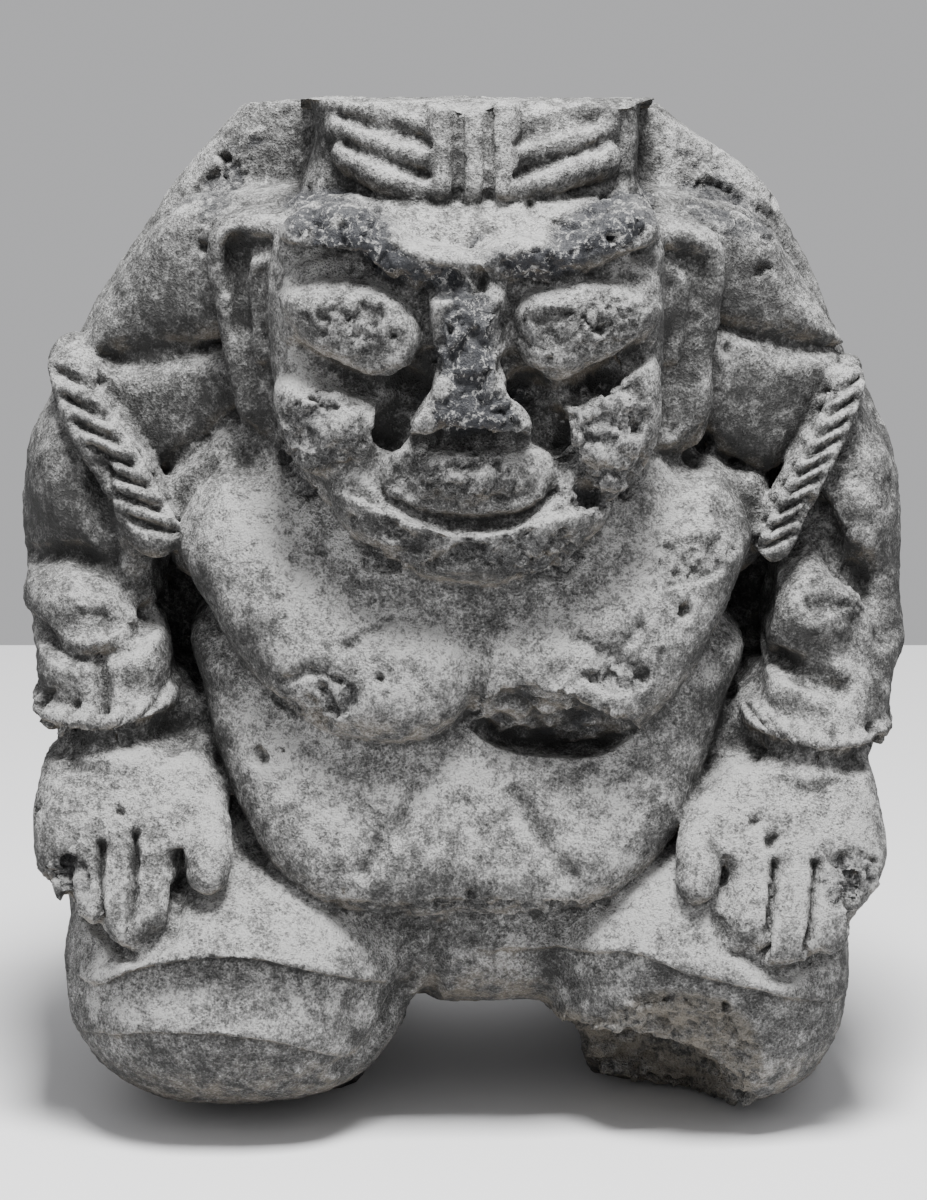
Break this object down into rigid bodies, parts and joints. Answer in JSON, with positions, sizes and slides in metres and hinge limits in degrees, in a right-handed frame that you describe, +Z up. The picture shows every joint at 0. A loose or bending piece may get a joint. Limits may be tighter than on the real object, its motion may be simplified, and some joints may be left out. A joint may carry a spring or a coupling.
{
  "type": "pottery guardian figure",
  "caption": "Squat pottery strongman kneeling with hands on knees, one solid piece with a flat crown and an arch between the legs.",
  "frame": {"origin": "on the ground, under the middle of the figure's bounding box", "axes": "+Z up towards the flat crown, -Y the way the face looks, +X towards the side of the broken knee"},
  "size_m": [0.2656, 0.1748, 0.305],
  "materials": {
    "figure": "matt unglazed grey earthenware, chipped and dusty"
  },
  "bodies": {
    "root": {"figure": "figure"}
  },
  "joints": []
}
